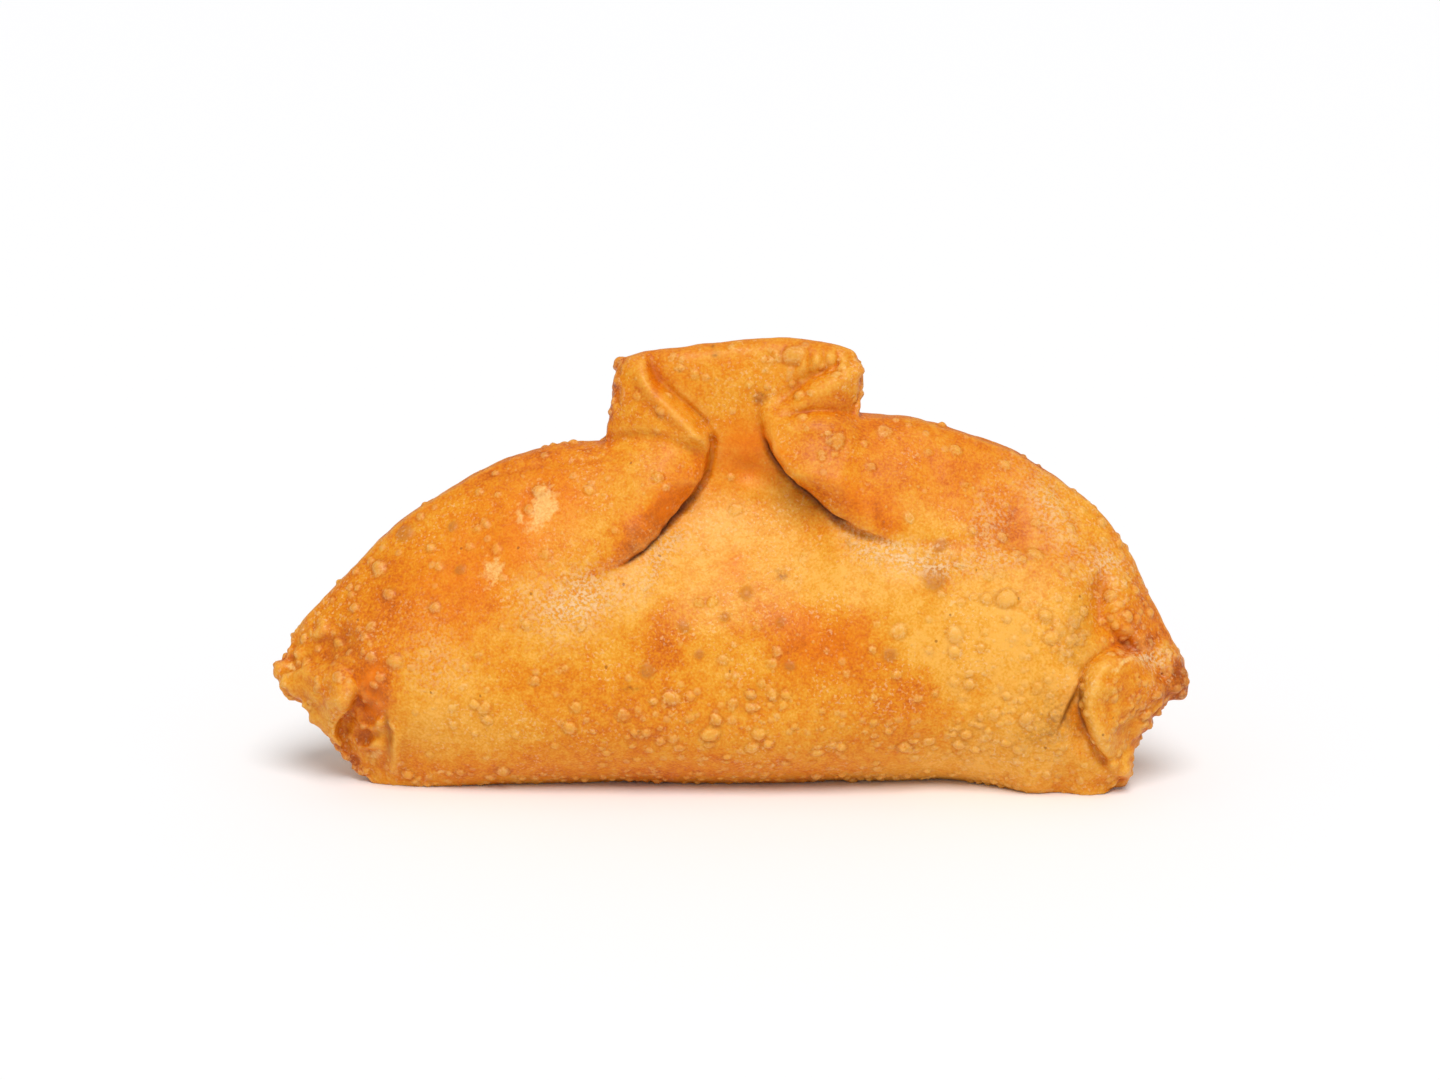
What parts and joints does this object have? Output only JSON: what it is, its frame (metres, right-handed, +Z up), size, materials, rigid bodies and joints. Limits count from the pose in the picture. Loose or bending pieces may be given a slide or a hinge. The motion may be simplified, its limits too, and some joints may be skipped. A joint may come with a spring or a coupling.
{
  "type": "empanada",
  "caption": "Deep-fried filled dough pocket standing on its base: plump belly, folded shoulders over a pinched neck, a flared frill on top and a pinched ear at each end.",
  "frame": {"origin": "middle of the bounding box in X and Y, on the plane of the flat underside", "axes": "+X along the pastry towards the ear with the bulge above it, -Y is the side with the dimpled creases that faces the viewer, +Z up to the frill"},
  "size_m": [0.1196, 0.0366, 0.0576],
  "materials": {
    "fried_dough": "golden deep-fried dough, satin with an oily sheen, blistered, pale and floury in the folds, browner at the edges"
  },
  "bodies": {
    "root": {"pastry": "fried_dough"}
  },
  "joints": []
}
